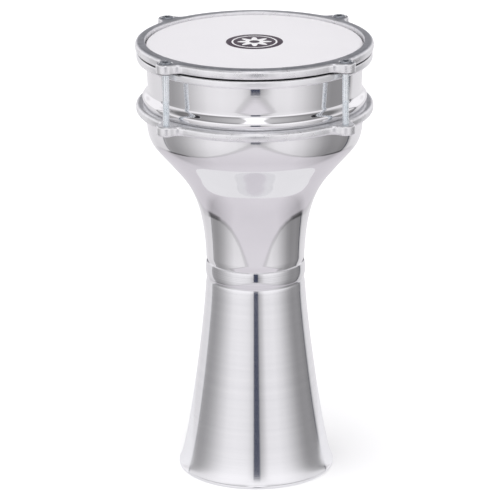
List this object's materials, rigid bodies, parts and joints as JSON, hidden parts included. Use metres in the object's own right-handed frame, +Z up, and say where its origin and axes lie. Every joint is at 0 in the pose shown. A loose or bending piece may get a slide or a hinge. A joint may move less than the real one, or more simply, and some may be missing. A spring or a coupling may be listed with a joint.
{
  "type": "darbuka",
  "caption": "Goblet hand drum of spun aluminium: flared foot, narrow waist, deep bowl, and a flat film head clamped by a cast hoop on tension bolts.",
  "frame": {"origin": "centre of the foot's rolled rim, on the ground", "axes": "+Z up along the drum's axis, from the foot to the head; the bolts stand on the diagonals of X and Y, and the side shown to the player faces -Y"},
  "size_m": [0.208, 0.208, 0.3956],
  "materials": {
    "polished_shell": "polished",
    "satin_waist": "satin",
    "satin_foot": "satin",
    "cast_hoop": "satin",
    "head_film": "matte",
    "head_print": "matte",
    "head_ring": "polished",
    "bond_resin": "gloss",
    "zinc_bolt": "satin"
  },
  "bodies": {
    "shell": {"upper_shell": "polished_shell", "waist_band": "satin_waist", "foot": "satin_foot", "lower_hoop": "cast_hoop", "drumhead": "head_film", "flesh_hoop": "head_ring", "head_bond_ring": "bond_resin"},
    "hoop": {"top_hoop": "cast_hoop"},
    "bolt_front_left": {"tension_bolt_front_left": "zinc_bolt"},
    "bolt_front_right": {"tension_bolt_front_right": "zinc_bolt"},
    "bolt_back_left": {"tension_bolt_back_left": "zinc_bolt"},
    "bolt_back_right": {"tension_bolt_back_right": "zinc_bolt"}
  },
  "joints": [
    {"name": "hoop_slide", "type": "slide", "parent": "shell", "child": "hoop", "axis": [0, 0, 1], "range_m": [0, 0.004]},
    {"name": "bolt_front_left_turn", "type": "hinge", "parent": "hoop", "child": "bolt_front_left", "pos_m": [-0.07658, -0.07658, 0.39], "axis": [0, 0, 1], "range_deg": [0, 1440]},
    {"name": "bolt_front_right_turn", "type": "hinge", "parent": "hoop", "child": "bolt_front_right", "pos_m": [0.07658, -0.07658, 0.39], "axis": [0, 0, 1], "range_deg": [0, 1440]},
    {"name": "bolt_back_left_turn", "type": "hinge", "parent": "hoop", "child": "bolt_back_left", "pos_m": [-0.07658, 0.07658, 0.39], "axis": [0, 0, 1], "range_deg": [0, 1440]},
    {"name": "bolt_back_right_turn", "type": "hinge", "parent": "hoop", "child": "bolt_back_right", "pos_m": [0.07658, 0.07658, 0.39], "axis": [0, 0, 1], "range_deg": [0, 1440]}
  ],
  "couplings": [
    {"joint": "bolt_front_left_turn", "follows": "hoop_slide", "rad_per_m": 6283.2},
    {"joint": "bolt_front_right_turn", "follows": "hoop_slide", "rad_per_m": 6283.2},
    {"joint": "bolt_back_left_turn", "follows": "hoop_slide", "rad_per_m": 6283.2},
    {"joint": "bolt_back_right_turn", "follows": "hoop_slide", "rad_per_m": 6283.2}
  ]
}
